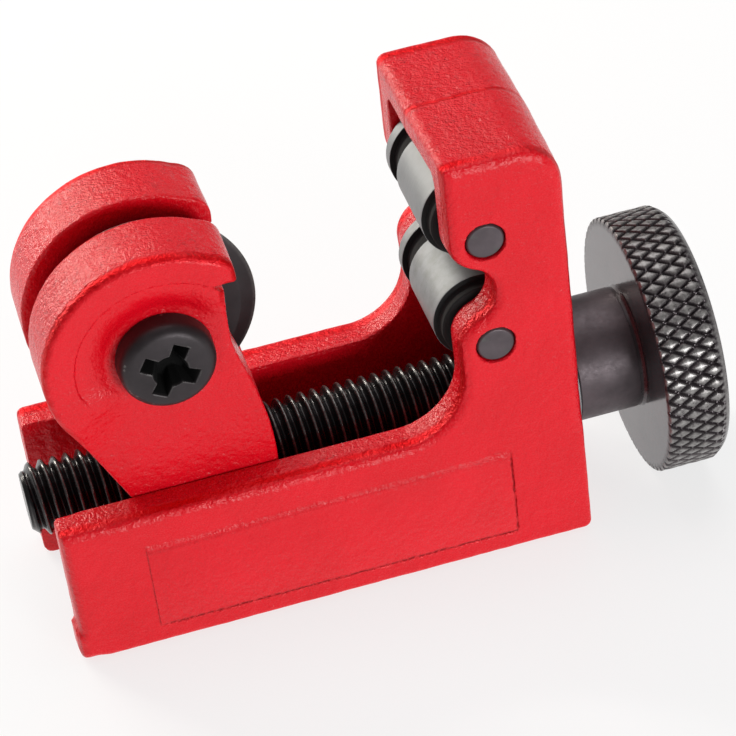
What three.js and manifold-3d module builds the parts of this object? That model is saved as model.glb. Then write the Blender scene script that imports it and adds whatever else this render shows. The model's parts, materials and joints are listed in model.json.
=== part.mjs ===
// Small screw-feed pipe cutter: a cast U-shaped frame with two rollers in its head,
// and a cast slide that carries the cutting wheel and is driven by a knob and feed screw.
// Millimetres. X runs along the feed screw toward the knob, Y across, Z up from the base.
// Lengths along X are laid out from the open end of the base; the whole group is then placed
// so that the origin is the middle of the base's underside.
import * as THREE from 'three';
import { mergeVertices } from 'three/addons/utils/BufferGeometryUtils.js';
import Module from 'manifold-3d';

const wasm = await Module();
wasm.setup();

// ---- driving dimensions ----
const threadDiameter = 6;
const threadLeadIn = 0.7;
const screwOverhang = 1.2;
const clipGrooveDepth = 0.55;

const baseLength = 42;
const bodyWidth = 17;
const wallHeight = 13.2;
const wallThickness = 2.8;
const floorThickness = 2.5;
const floorSetback = 2;
const endWallThickness = 2.6;
const headStart = 32.4;
const headHeight = 37.5;
const headWebThickness = 2.2;
const headShoulderRadius = 3.6;
const headNoseRadius = 0.8;
const wallToHeadRadius = 5;
const padRise = 0.2;

const feedAxisHeight = 10.5;
const contactHeight = 25.4;

const rollerAxisX = 35.4;
const rollerSpacing = 9.6;
const rollerRadius = 3.75;
const rollerGrooveDepth = 0.45;
const rollerEndGap = 0.25;
const rollerPinRadius = 1.48;
const cheekLobeRadius = 3.05;
const cheekNotchX = 35.5;

const wheelAxisX = 10.9;
const wheelRadius = 8.35;
const wheelHubRadius = 3.3;
const wheelBladeThickness = 1.1;
const wheelBevelWidth = 1.3;
const wheelEdgeThickness = 0.08;

const earRadius = 9.4;
const earTipX = 17.1;
const earTipUnderside = 30.8;
const earCornerX = 15.3;
const rimInnerRadius = 6.95;
const rimRise = 1.3;
const rimStep = 0.4;
const slotWidth = 2.7;
const slotFloorHeight = 16.2;
const footStart = 6.8;
const footEnd = 18.2;

const axleRadius = 2;
const axleHeadRadius = 3.75;
const axleHeadHeight = 2.4;
const axleSeatRadius = 4.3;

const knobRadius = 10.45;
const knobThickness = 5.1;
const knobChamfer = 0.4;
const knobCountersinkDepth = 0.8;
const sleeveRadius = 4.9;
const sleeveLength = 4.9;
const washerRadius = 5.2;
const washerThickness = 0.55;
const clipRadius = 4.7;
const clipThickness = 0.6;

const slidingGap = 0.1;
const runningGap = 0.05;
const pressGap = 0.03;
const faceGap = 0.05;
const cutMargin = 1;

// ---- worked out from the driving dimensions ----
const bodyHalf = bodyWidth / 2;
const channelHalf = bodyHalf - wallThickness;
const slideHalf = channelHalf - slidingGap;
const footBottom = floorThickness + slidingGap;
const endWallInside = baseLength - endWallThickness;
const rollerHeights = { upper: contactHeight + rollerSpacing / 2, lower: contactHeight - rollerSpacing / 2 };
const rollerHalfLength = channelHalf - rollerEndGap;
const screwRadius = threadDiameter / 2 - runningGap;
const screwStart = -screwOverhang;
const screwCoreRadius = screwRadius - clipGrooveDepth;

const castRed = { color: 0xd42230, roughness: 0.45, metalness: 0 };
const blackOxide = { color: 0x1c1b1e, roughness: 0.4, metalness: 0.7 };
const groundSteel = { color: 0xa9adaa, roughness: 0.3, metalness: 1 };
const springSteel = { color: 0x3a3a3c, roughness: 0.4, metalness: 1 };
const wheelSteel = { color: 0x2c2729, roughness: 0.35, metalness: 0.9 };

// ---- shape helpers ----
function signedVolume(geometry) {
  const position = geometry.attributes.position;
  const index = geometry.index.array;
  const a = new THREE.Vector3();
  const b = new THREE.Vector3();
  const c = new THREE.Vector3();
  let total = 0;
  for (let i = 0; i < index.length; i += 3) {
    a.fromBufferAttribute(position, index[i]);
    b.fromBufferAttribute(position, index[i + 1]);
    c.fromBufferAttribute(position, index[i + 2]);
    total += a.dot(b.cross(c)) / 6;
  }
  return total;
}

// Welds a geometry and turns it into a solid that faces outward.
function solid(geometry) {
  const bare = geometry.clone();
  bare.deleteAttribute('normal');
  bare.deleteAttribute('uv');
  const welded = mergeVertices(bare, 1e-4);
  const triVerts = Uint32Array.from(welded.index.array);
  if (signedVolume(welded) < 0) {
    for (let i = 0; i < triVerts.length; i += 3) {
      const first = triVerts[i];
      triVerts[i] = triVerts[i + 1];
      triVerts[i + 1] = first;
    }
  }
  const vertProperties = Float32Array.from(welded.attributes.position.array);
  return new wasm.Manifold(new wasm.Mesh({ numProp: 3, vertProperties, triVerts }));
}

// A box from its two corners.
function box(low, high) {
  const size = high.map((value, axis) => value - low[axis]);
  const centre = high.map((value, axis) => (value + low[axis]) / 2);
  const geometry = new THREE.BoxGeometry(...size);
  geometry.translate(...centre);
  return solid(geometry);
}

// An X-Z outline given thickness along Y.
function plate(shape, yLow, yHigh, curveSegments = 10) {
  const geometry = new THREE.ExtrudeGeometry(shape, { depth: yHigh - yLow, bevelEnabled: false, curveSegments });
  geometry.rotateX(Math.PI / 2);
  geometry.translate(0, yHigh, 0);
  return solid(geometry);
}

function turnedGeometry(profile, segments) {
  const points = profile.map(([radius, along]) => new THREE.Vector2(radius, along));
  return new THREE.LatheGeometry(points, segments);
}

// A turned piece about the X axis; profile points are [radius, x].
function turnedAlong(profile, segments = 48) {
  return solid(turnedGeometry(profile, segments).rotateZ(-Math.PI / 2));
}

// A turned piece about the Y axis; profile points are [radius, y].
function turnedAcross(profile, segments = 40) {
  return solid(turnedGeometry(profile, segments));
}

// Cutter for a round hole across the tool, centred at x and z.
function crossHole(radius, x, z) {
  const reach = bodyWidth;
  return turnedAcross([[0, -reach], [radius, -reach], [radius, reach], [0, reach]]).translate([x, 0, z]);
}

// Cutter for a round hole on the feed-screw axis.
function feedHole(radius, xLow, xHigh) {
  const rod = turnedAlong([[0, xLow], [radius, xLow], [radius, xHigh], [0, xHigh]]);
  return rod.translate([0, 0, feedAxisHeight]);
}

// A flat ring about the X axis.
function ring(bore, radius, xLow, xHigh) {
  return turnedAlong([[bore, xLow], [radius, xLow], [radius, xHigh], [bore, xHigh], [bore, xLow]]);
}

function toMesh(name, body, look) {
  const { vertProperties, triVerts } = body.getMesh();
  const geometry = new THREE.BufferGeometry();
  geometry.setAttribute('position', new THREE.BufferAttribute(Float32Array.from(vertProperties), 3));
  geometry.setIndex(new THREE.BufferAttribute(Uint32Array.from(triVerts), 1));
  geometry.computeVertexNormals();
  const mesh = new THREE.Mesh(geometry, new THREE.MeshStandardMaterial(look));
  mesh.name = name;
  return mesh;
}

// ---- frame casting ----
// Side outline of the frame: base, end wall, rounded head, two roller lobes with a notch
// between them, then the fillet down to the channel walls.
function frameOutline() {
  const outline = new THREE.Shape();
  const lobeSweep = 1.2;
  const endCorner = 0.5;
  const { upper, lower } = rollerHeights;
  const notchReach = 0.85;
  outline.moveTo(endCorner, 0);
  outline.lineTo(baseLength - endCorner, 0);
  outline.quadraticCurveTo(baseLength, 0, baseLength, endCorner);
  outline.lineTo(baseLength, headHeight - headShoulderRadius);
  outline.absarc(baseLength - headShoulderRadius, headHeight - headShoulderRadius,
    headShoulderRadius, 0, Math.PI / 2, false);
  outline.lineTo(headStart + headNoseRadius, headHeight);
  outline.absarc(headStart + headNoseRadius, headHeight - headNoseRadius,
    headNoseRadius, Math.PI / 2, Math.PI, false);
  outline.absarc(rollerAxisX, upper, cheekLobeRadius, Math.PI, Math.PI + lobeSweep, false);
  const lobeEndX = rollerAxisX - cheekLobeRadius * Math.cos(lobeSweep);
  const lobeEndRise = cheekLobeRadius * Math.sin(lobeSweep);
  const towardNotchX = lobeEndX + notchReach * Math.sin(lobeSweep);
  const towardNotchDrop = notchReach * Math.cos(lobeSweep);
  outline.bezierCurveTo(towardNotchX, upper - lobeEndRise - towardNotchDrop,
    cheekNotchX, contactHeight + notchReach, cheekNotchX, contactHeight);
  outline.bezierCurveTo(cheekNotchX, contactHeight - notchReach,
    towardNotchX, lower + lobeEndRise + towardNotchDrop, lobeEndX, lower + lobeEndRise);
  outline.absarc(rollerAxisX, lower, cheekLobeRadius, Math.PI - lobeSweep, Math.PI, false);
  outline.lineTo(headStart, wallHeight + wallToHeadRadius);
  outline.absarc(headStart - wallToHeadRadius, wallHeight + wallToHeadRadius,
    wallToHeadRadius, 0, -Math.PI / 2, true);
  outline.lineTo(endCorner, wallHeight);
  outline.quadraticCurveTo(0, wallHeight, 0, wallHeight - endCorner);
  outline.lineTo(0, endCorner);
  outline.quadraticCurveTo(0, 0, endCorner, 0);
  return outline;
}

// The low raised panel on each side of the base.
function sidePad(side) {
  const padStart = 6.5;
  const padEnd = 35.6;
  const padBottom = 2.1;
  const padTop = 10.2;
  const inner = bodyHalf - padRise;
  const outer = bodyHalf + padRise;
  const yLow = side < 0 ? -outer : inner;
  return box([padStart, yLow, padBottom], [padEnd, yLow + 2 * padRise, padTop]);
}

function frameBody() {
  const webUnderside = headHeight - headWebThickness;
  let body = plate(frameOutline(), -bodyHalf, bodyHalf);
  body = body.add(sidePad(-1)).add(sidePad(1));
  body = body.subtract(box([-cutMargin, -channelHalf, floorThickness], [endWallInside, channelHalf, webUnderside]));
  body = body.subtract(box([-cutMargin, -channelHalf, -cutMargin], [floorSetback, channelHalf, webUnderside]));
  body = body.subtract(feedHole(threadDiameter / 2 + runningGap, endWallInside - cutMargin, baseLength + cutMargin));
  for (const height of Object.values(rollerHeights)) {
    body = body.subtract(crossHole(rollerPinRadius + pressGap, rollerAxisX, height));
  }
  return body;
}

// ---- rollers and their pins ----
function rollerPin() {
  const half = bodyHalf - faceGap;
  const chamfer = 0.2;
  const profile = [
    [0, -half],
    [rollerPinRadius - chamfer, -half],
    [rollerPinRadius, -half + chamfer],
    [rollerPinRadius, half - chamfer],
    [rollerPinRadius - chamfer, half],
    [0, half],
  ];
  return turnedAcross(profile, 32);
}

// A roller with a flare groove near its far end and a stepped near end.
function roller() {
  const bore = rollerPinRadius + runningGap;
  const groove = { start: 2.2, end: 4.2 };
  const stepEnd = -4.35;
  const grooveRadius = rollerRadius - rollerGrooveDepth;
  const chamfer = 0.25;
  const profile = [
    [bore, -rollerHalfLength],
    [grooveRadius, -rollerHalfLength],
    [grooveRadius, stepEnd],
    [rollerRadius, stepEnd],
    [rollerRadius, groove.start],
    [grooveRadius, groove.start],
    [grooveRadius, groove.end],
    [rollerRadius, groove.end],
    [rollerRadius, rollerHalfLength - chamfer],
    [rollerRadius - chamfer, rollerHalfLength],
    [bore, rollerHalfLength],
    [bore, -rollerHalfLength],
  ];
  return turnedAcross(profile, 44);
}

// ---- slide casting ----
const rimLowerAngle = THREE.MathUtils.degToRad(205);
const dishFadeAngle = THREE.MathUtils.degToRad(75);
const earCornerAngle = Math.acos((earCornerX - wheelAxisX) / earRadius);

// The ear's edge from the underside of its tip, over the top, to its lower end.
function traceEarEdge(outline) {
  const cornerRadius = 0.6;
  const cornerHeight = contactHeight + earRadius * Math.sin(earCornerAngle);
  outline.lineTo(earTipX - cornerRadius, earTipUnderside);
  outline.quadraticCurveTo(earTipX, earTipUnderside, earTipX, earTipUnderside + cornerRadius);
  outline.quadraticCurveTo(earTipX, cornerHeight - cornerRadius, earCornerX, cornerHeight);
  outline.absarc(wheelAxisX, contactHeight, earRadius, earCornerAngle, rimLowerAngle, false);
}

// Side outline of the slide: foot in the channel, waist behind the wheel, round ear on top.
function slideOutline() {
  const outline = new THREE.Shape();
  const footShoulder = wallHeight + 1;
  const footTop = wallHeight - 1;
  const heel = 0.4;
  const waistX = 16.1;
  const waistTop = earTipUnderside - 2.5;
  const waistPull = { alongX: 0.3, fromFoot: 5.8, fromWaist: 2 };
  outline.moveTo(footStart, footBottom);
  outline.lineTo(footEnd, footBottom);
  outline.lineTo(footEnd, footShoulder);
  outline.bezierCurveTo(footEnd - waistPull.alongX, footShoulder + waistPull.fromFoot,
    waistX, contactHeight - waistPull.fromWaist, waistX, contactHeight);
  outline.lineTo(waistX, waistTop);
  traceEarEdge(outline);
  outline.lineTo(footStart - heel, footTop + heel);
  outline.quadraticCurveTo(footStart, footTop + heel, footStart, footTop);
  outline.lineTo(footStart, footBottom);
  return outline;
}

// Crescent rim with the dished metal inside it, open below the axle-screw head.
function rimOutline() {
  const outline = new THREE.Shape();
  outline.moveTo(
    wheelAxisX + axleSeatRadius * Math.cos(dishFadeAngle),
    contactHeight + axleSeatRadius * Math.sin(dishFadeAngle),
  );
  traceEarEdge(outline);
  outline.lineTo(
    wheelAxisX + axleSeatRadius * Math.cos(rimLowerAngle),
    contactHeight + axleSeatRadius * Math.sin(rimLowerAngle),
  );
  outline.absarc(wheelAxisX, contactHeight, axleSeatRadius, rimLowerAngle, dishFadeAngle, true);
  return outline;
}

function slideCarriage() {
  const rim = rimOutline();
  const rimOuter = slideHalf + rimRise;
  const rimInner = slideHalf - rimRise;
  let body = plate(slideOutline(), -slideHalf, slideHalf, 12);
  body = body.add(plate(rim, -rimOuter, -rimInner, 12));
  body = body.add(plate(rim, rimInner, rimOuter, 12));
  body = body.subtract(earDish(-1)).subtract(earDish(1));
  const slotHalf = slotWidth / 2;
  body = body.subtract(box([-cutMargin, -slotHalf, slotFloorHeight],
    [baseLength, slotHalf, contactHeight + earRadius + cutMargin]));
  body = body.subtract(crossHole(axleRadius + runningGap, wheelAxisX, contactHeight));
  body = body.subtract(feedHole(threadDiameter / 2 + runningGap, footStart - cutMargin, footEnd + cutMargin));
  return body;
}

// Cutter for one ear: a flat seat level with the slide's side, flaring out to a step in the rim.
function earDish(side) {
  const outside = side * (slideHalf + rimRise + cutMargin);
  const stepY = side * (slideHalf + rimRise - rimStep);
  const seatY = side * slideHalf;
  const profile = [
    [0, outside],
    [rimInnerRadius, outside],
    [rimInnerRadius, stepY],
    [axleSeatRadius, seatY],
    [0, seatY],
  ];
  return turnedAcross(profile, 48).translate([wheelAxisX, 0, contactHeight]);
}

// ---- cutting wheel and its axle screw ----
function cuttingWheel() {
  const bore = axleRadius + runningGap;
  const hubHalf = slotWidth / 2 - slidingGap;
  const bladeHalf = wheelBladeThickness / 2;
  const edgeHalf = wheelEdgeThickness / 2;
  const bevelStart = wheelRadius - wheelBevelWidth;
  const profile = [
    [bore, -hubHalf],
    [wheelHubRadius, -hubHalf],
    [wheelHubRadius, -bladeHalf],
    [bevelStart, -bladeHalf],
    [wheelRadius, -edgeHalf],
    [wheelRadius, edgeHalf],
    [bevelStart, bladeHalf],
    [wheelHubRadius, bladeHalf],
    [wheelHubRadius, hubHalf],
    [bore, hubHalf],
    [bore, -hubHalf],
  ];
  return turnedAcross(profile, 64);
}

// Tapered cross recess, reaching in from the outside of the screw head.
function crossRecess(faceY) {
  const armLength = 2.15;
  const armWidth = 1;
  const depth = 1.5;
  const turn = 30;
  const low = [-armLength, faceY - cutMargin, -armWidth / 2];
  const high = [armLength, faceY + depth, armWidth / 2];
  const arm = box(low, high);
  return arm.rotate([0, turn, 0]).add(arm.rotate([0, turn + 90, 0]));
}

function wheelAxleScrew() {
  const seat = -(slideHalf + faceGap);
  const face = seat - axleHeadHeight;
  const crown = { radius: axleHeadRadius * 0.45, drop: 0.05 };
  const shoulder = { radius: axleHeadRadius * 0.82, drop: 0.3 };
  const rimDepth = axleHeadHeight * 0.45;
  const endBelowFace = 0.3;
  const end = slideHalf - endBelowFace;
  const lead = 0.4;
  const profile = [
    [0, face],
    [crown.radius, face + crown.drop],
    [shoulder.radius, face + shoulder.drop],
    [axleHeadRadius, face + rimDepth],
    [axleHeadRadius, seat],
    [axleRadius, seat],
    [axleRadius, end - lead],
    [axleRadius - lead, end],
    [0, end],
  ];
  return turnedAcross(profile, 48).subtract(crossRecess(face));
}

// ---- feed screw, sleeve, knob and the rings that hold the screw in the end wall ----
const innerWasherEnd = endWallInside - faceGap;
const innerWasherStart = innerWasherEnd - washerThickness;
const clipEnd = innerWasherStart - faceGap;
const clipStart = clipEnd - clipThickness;
const outerWasherStart = baseLength + faceGap;
const sleeveStart = outerWasherStart + washerThickness + faceGap;
const sleeveEnd = sleeveStart + sleeveLength;
const bossStart = sleeveEnd + faceGap;
const bossLength = 0.45;
const bossStep = 0.15;
const knobStart = bossStart + bossLength;
const knobEnd = knobStart + knobThickness;
const tailStep = 0.6;
const tailRadius = screwRadius - tailStep;

function feedScrew() {
  const grooveStart = clipStart - faceGap;
  const grooveEnd = clipEnd + faceGap;
  const peened = { growth: 0.7, proud: 0.25, crown: 0.4, flat: 0.7, below: 0.1 };
  const peenedRadius = tailRadius + peened.growth;
  const profile = [
    [0, screwStart],
    [screwRadius - threadLeadIn, screwStart],
    [screwRadius, screwStart + threadLeadIn],
    [screwRadius, grooveStart],
    [screwCoreRadius, grooveStart],
    [screwCoreRadius, grooveEnd],
    [screwRadius, grooveEnd],
    [screwRadius, bossStart],
    [tailRadius, bossStart],
    [tailRadius, knobEnd - knobCountersinkDepth],
    [peenedRadius, knobEnd - peened.below],
    [peenedRadius * peened.flat, knobEnd + peened.proud],
    [0, knobEnd + peened.crown],
  ];
  return turnedAlong(profile);
}

function knob() {
  const bore = tailRadius + runningGap;
  const countersink = bore + knobCountersinkDepth;
  const bossRadius = sleeveRadius - bossStep;
  const profile = [
    [bore, bossStart],
    [bossRadius, bossStart],
    [bossRadius, knobStart],
    [knobRadius - knobChamfer, knobStart],
    [knobRadius, knobStart + knobChamfer],
    [knobRadius, knobEnd - knobChamfer],
    [knobRadius - knobChamfer, knobEnd],
    [countersink, knobEnd],
    [bore, knobEnd - knobCountersinkDepth],
    [bore, bossStart],
  ];
  return turnedAlong(profile, 72);
}

function sleeve() {
  const bore = screwRadius + runningGap;
  const edge = 0.2;
  const profile = [
    [bore, sleeveStart],
    [sleeveRadius - edge, sleeveStart],
    [sleeveRadius, sleeveStart + edge],
    [sleeveRadius, sleeveEnd - edge],
    [sleeveRadius - edge, sleeveEnd],
    [bore, sleeveEnd],
    [bore, sleeveStart],
  ];
  return turnedAlong(profile);
}

// Open retaining clip: a ring with a mouth wide enough to push over the screw groove.
function retainingClip() {
  const bore = screwCoreRadius + runningGap;
  const mouthShare = 0.82;
  const mouthHalf = bore * mouthShare;
  const mouth = box([clipStart - cutMargin, -mouthHalf, -clipRadius - cutMargin],
    [clipEnd + cutMargin, mouthHalf, 0]);
  return ring(bore, clipRadius, clipStart, clipEnd).subtract(mouth);
}

// ---- assembly ----
function placed(meshes, x, z) {
  const group = new THREE.Group();
  group.add(...meshes);
  group.position.set(x, 0, z);
  return group;
}

const washerBore = threadDiameter / 2 + runningGap;
const outerWasherEnd = outerWasherStart + washerThickness;

const rollers = Object.entries(rollerHeights).map(([place, height]) => placed([
  toMesh(`roller_${place}`, roller(), groundSteel),
  toMesh(`roller_pin_${place}`, rollerPin(), blackOxide),
], rollerAxisX, height));

const wheelSet = placed([
  toMesh('cutting_wheel', cuttingWheel(), wheelSteel),
  toMesh('wheel_axle_screw', wheelAxleScrew(), blackOxide),
], wheelAxisX, contactHeight);

const feedSet = placed([
  toMesh('feed_screw', feedScrew(), blackOxide),
  toMesh('knob_sleeve', sleeve(), blackOxide),
  toMesh('knob_wheel', knob(), blackOxide),
  toMesh('inner_thrust_washer', ring(washerBore, washerRadius, innerWasherStart, innerWasherEnd), springSteel),
  toMesh('outer_thrust_washer', ring(washerBore, washerRadius, outerWasherStart, outerWasherEnd), springSteel),
  toMesh('retaining_clip', retainingClip(), springSteel),
], 0, feedAxisHeight);

const castings = placed([
  toMesh('frame_body', frameBody(), castRed),
  toMesh('slide_carriage', slideCarriage(), castRed),
], 0, 0);

const cutter = placed([castings, ...rollers, wheelSet, feedSet], -baseLength / 2, 0);
cutter.name = 'pipe_cutter';

export default cutter;
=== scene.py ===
"""Looks of a small screw-feed pipe cutter: two red die castings, ground steel rollers,
a black-oxide feed screw with a real thread, and a diamond-knurled knob.

Shapes are worked out in millimetres in the CAD model's frame and become metres when a mesh is made.
"""
import json
import math

import bmesh
import bpy
import numpy as np
from mathutils import Matrix, Vector


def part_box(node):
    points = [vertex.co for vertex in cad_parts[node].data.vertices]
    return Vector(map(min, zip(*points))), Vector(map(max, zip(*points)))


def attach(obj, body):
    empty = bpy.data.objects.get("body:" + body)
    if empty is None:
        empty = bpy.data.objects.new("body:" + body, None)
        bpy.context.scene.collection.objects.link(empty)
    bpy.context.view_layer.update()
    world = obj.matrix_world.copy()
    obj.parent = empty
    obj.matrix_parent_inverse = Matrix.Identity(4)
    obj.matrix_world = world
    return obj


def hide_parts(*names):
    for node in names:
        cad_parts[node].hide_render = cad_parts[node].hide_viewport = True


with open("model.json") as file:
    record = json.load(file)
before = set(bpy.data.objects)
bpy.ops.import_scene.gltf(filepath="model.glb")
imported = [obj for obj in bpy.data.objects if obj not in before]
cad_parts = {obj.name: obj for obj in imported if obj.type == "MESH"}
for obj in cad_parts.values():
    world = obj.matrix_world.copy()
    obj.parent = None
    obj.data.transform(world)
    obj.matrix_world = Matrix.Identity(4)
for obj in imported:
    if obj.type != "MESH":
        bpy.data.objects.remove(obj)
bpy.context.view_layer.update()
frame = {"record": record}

MM = 0.001
PER_MM = 1.0 / MM


# ---- places read from the frame, in millimetres ----
def node_box(node):
    low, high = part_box(node)
    return low * PER_MM, high * PER_MM


def joint_place(name):
    joints = {joint["name"]: joint for joint in frame["record"]["behaviour"]["joints"]}
    return Vector(joints[name]["pos_m"]) * PER_MM


frame_low, frame_high = node_box("frame_body")
slide_low, slide_high = node_box("slide_carriage")
screw_low, screw_high = node_box("feed_screw")
sleeve_low, sleeve_high = node_box("knob_sleeve")
knob_low, knob_high = node_box("knob_wheel")
wheel_high = node_box("cutting_wheel")[1]
axle_low, axle_high = node_box("wheel_axle_screw")
roller_high = node_box("roller_upper")[1]
pin_low, pin_high = node_box("roller_pin_upper")
wheel_axis = joint_place("wheel_spin")
feed_axis = joint_place("knob_turn")
roller_axes = {side: joint_place(side + "_roller_spin") for side in ("upper", "lower")}
contact_height = wheel_axis.z

# ---- driving dimensions of the castings, in millimetres ----
pad_rise = 0.2
body_half = frame_high.y - pad_rise
wall_thickness = 2.8
channel_half = body_half - wall_thickness
floor_top = 2.5
floor_setback = 2.0
wall_top = 13.2
wall_corner = 0.6
end_wall = 2.6
head_web = 2.2
head_face = frame_low.x + 32.4
head_shoulder = 3.6
head_nose = 0.8
wall_sweep = 5.0
cheek_lobe = 3.05
cheek_notch = frame_low.x + 35.5
slide_half = channel_half - 0.1
slot_half = 1.35
slot_floor = 16.2
rim_half = slide_high.y
ear_radius = wheel_axis.x - slide_low.x
thread_pitch = 1.0
pad_start, pad_end = frame_low.x + 6.5, frame_low.x + 35.6
pad_bottom, pad_top = 2.1, 10.2
cast_draft = math.tan(math.radians(2.0))
parting_y = 0.3
screw_bore = 3.05
axle_shank = 2.0
smooth_angle_deg = 40


# ---- small shape tools ----
def arc(centre, radius, start_deg, end_deg, count=14):
    """Points on an arc in the X-Z plane, both ends included."""
    turn = np.radians(np.linspace(start_deg, end_deg, count))
    return np.column_stack([centre[0] + radius * np.cos(turn), centre[1] + radius * np.sin(turn)])


def bezier(first, pull_first, pull_last, last, count=14):
    t = np.linspace(0, 1, count)[:, None]
    points = [np.array(p, float) for p in (first, pull_first, pull_last, last)]
    weights = ((1 - t) ** 3, 3 * t * (1 - t) ** 2, 3 * t**2 * (1 - t), t**3)
    return sum(w * p for w, p in zip(weights, points))


def closed_outline(*runs):
    """Joins runs of points into one closed outline without repeated points."""
    points = np.vstack([np.atleast_2d(np.array(run, float)) for run in runs])
    step = np.linalg.norm(points - np.roll(points, 1, axis=0), axis=1)
    return points[step > 1e-4]


def outline_distance(x, z, points):
    """Signed distance in the X-Z plane to a closed outline, negative inside."""
    shape = np.broadcast(x, z).shape
    nearest = np.full(shape, np.inf)
    inside = np.zeros(shape, bool)
    for (ax, az), (bx, bz) in zip(points, np.roll(points, -1, axis=0)):
        ex, ez = bx - ax, bz - az
        along = np.clip(((x - ax) * ex + (z - az) * ez) / (ex * ex + ez * ez), 0, 1)
        nearest = np.minimum(nearest, (x - ax - along * ex) ** 2 + (z - az - along * ez) ** 2)
        if ez:
            inside ^= ((az <= z) != (bz <= z)) & (x < ax + (z - az) * ex / ez)
    return np.where(inside, -1.0, 1.0) * np.sqrt(nearest)


def meet(a, b, radius):
    """Where two solids overlap, with the edge between them rounded."""
    corner = np.hypot(np.maximum(a + radius, 0), np.maximum(b + radius, 0))
    return np.minimum(np.maximum(a, b), -radius) + corner


def join(a, b, radius):
    """Two solids together, with a fillet where they touch."""
    corner = np.hypot(np.maximum(radius - a, 0), np.maximum(radius - b, 0))
    return np.maximum(np.minimum(a, b), radius) - corner


def cut(a, b, radius):
    """The first solid without the second, with the rim rounded."""
    return meet(a, -b, radius)


def between(value, low, high):
    return np.maximum(low - value, value - high)


def smooth_step(value, low, high):
    t = np.clip((value - low) / (high - low), 0, 1)
    return t * t * (3 - 2 * t)


def waves(x, y, z, length, seed):
    """Soft unevenness between about -1 and 1, the same at every run."""
    wave_count, whole_turn = 6, 6.28
    draw = np.random.default_rng(seed)
    total = 0
    for _ in range(wave_count):
        way = draw.normal(size=3)
        way *= 2 * math.pi / length / np.linalg.norm(way)
        total = total + np.sin(way[0] * x + way[1] * y + way[2] * z + draw.uniform(0, whole_turn))
    return total / (wave_count / 2)


def cast_ripple(x, y, z, long_wave, long_rise, short_wave, seed):
    """A casting's unevenness: a long wave and a short one on top of it."""
    short_rise = 0.008
    long_part = long_rise * waves(x, y, z, long_wave, seed)
    return long_part + short_rise * waves(x, y, z, short_wave, seed + 1)


# ---- from distances to a mesh ----
def surface_net(values):
    """Quads around each grid edge that the zero surface crosses, in grid units."""
    cells = tuple(n - 1 for n in values.shape)
    total = np.zeros(cells + (3,), np.float32)
    count = np.zeros(cells, np.float32)
    edges = []
    for axis in range(3):
        first = np.take(values, range(cells[axis]), axis)
        last = np.take(values, range(1, cells[axis] + 1), axis)
        crossed = (first < 0) != (last < 0)
        spot = np.argwhere(crossed)
        where = spot.astype(np.float32)
        gap = first[crossed] - last[crossed]
        where[:, axis] += first[crossed] / gap
        edges.append((axis, spot, first[crossed] < 0))
        sides = [a for a in range(3) if a != axis]
        for step_a in (0, 1):
            for step_b in (0, 1):
                cell = spot.copy()
                cell[:, sides[0]] -= step_a
                cell[:, sides[1]] -= step_b
                good = np.all((cell >= 0) & (cell < np.array(cells)), axis=1)
                at = tuple(cell[good].T)
                np.add.at(total, at, where[good])
                np.add.at(count, at, 1)
    used = count > 0
    index = np.full(cells, -1, np.int64)
    index[used] = np.arange(used.sum())
    points = total[used] / count[used][:, None]
    quads = []
    for axis, spot, starts_inside in edges:
        side_a, side_b = (axis + 1) % 3, (axis + 2) % 3
        corners = []
        for step_a, step_b in ((1, 1), (0, 1), (0, 0), (1, 0)):
            cell = spot.copy()
            cell[:, side_a] -= step_a
            cell[:, side_b] -= step_b
            corners.append(index[tuple(cell.T)])
        quad = np.column_stack(corners)
        quad[~starts_inside] = quad[~starts_inside][:, ::-1]
        quads.append(quad)
    return points, np.vstack(quads)


def solid_from_distance(distance, low, high, step):
    """Meshes the zero surface of distance(x, y, z), then pulls each point onto it."""
    margin, pulls = 2 * step, 3
    least_slope, longest_move = 0.2, 0.4 * step
    low, high = np.array(low, float) - margin, np.array(high, float) + margin
    counts = np.ceil((high - low) / step).astype(int) + 1
    x, y, z = (low[a] + step * np.arange(counts[a]) for a in range(3))
    grid = distance(x[:, None, None], y[None, :, None], z[None, None, :])
    points, quads = surface_net(np.broadcast_to(grid, counts).astype(np.float32))
    points = low + points * step
    reach = step / 8
    for _ in range(pulls):
        here = distance(*points.T)
        slope = np.column_stack([distance(*(points + reach * way).T) - here for way in np.eye(3)]) / reach
        steep = np.maximum((slope**2).sum(axis=1), least_slope)
        move = -(here / steep)[:, None] * slope
        length = np.linalg.norm(move, axis=1, keepdims=True)
        points = points + move * np.minimum(1, longest_move / np.maximum(length, 1e-9))
    return points, quads


def shade_smooth(mesh, sharp_deg=smooth_angle_deg):
    """Smooth shading that breaks at edges sharper than sharp_deg."""
    mesh.polygons.foreach_set("use_smooth", [True] * len(mesh.polygons))
    mesh.set_sharp_from_angle(angle=math.radians(sharp_deg))


def make_piece(name, points, faces, sharp_deg=smooth_angle_deg):
    """A smooth-shaded mesh object from points in millimetres."""
    mesh = bpy.data.meshes.new(name)
    mesh.from_pydata((np.asarray(points, float) * MM).tolist(), [], [list(f) for f in faces])
    mesh.update()
    shade_smooth(mesh, sharp_deg)
    piece = bpy.data.objects.new(name, mesh)
    bpy.context.scene.collection.objects.link(piece)
    return piece


def set_attribute(piece, name, values):
    """A number for each vertex that the material reads."""
    layer = piece.data.attributes.new(name, "FLOAT", "POINT")
    layer.data.foreach_set("value", np.asarray(values, np.float32))


def vertex_places(piece):
    """Each vertex's place in millimetres."""
    return np.array([v.co for v in piece.data.vertices]) * PER_MM


def vertex_normals(piece):
    normals = np.zeros(len(piece.data.vertices) * 3, np.float32)
    piece.data.vertices.foreach_get("normal", normals)
    return normals.reshape(-1, 3)


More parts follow.
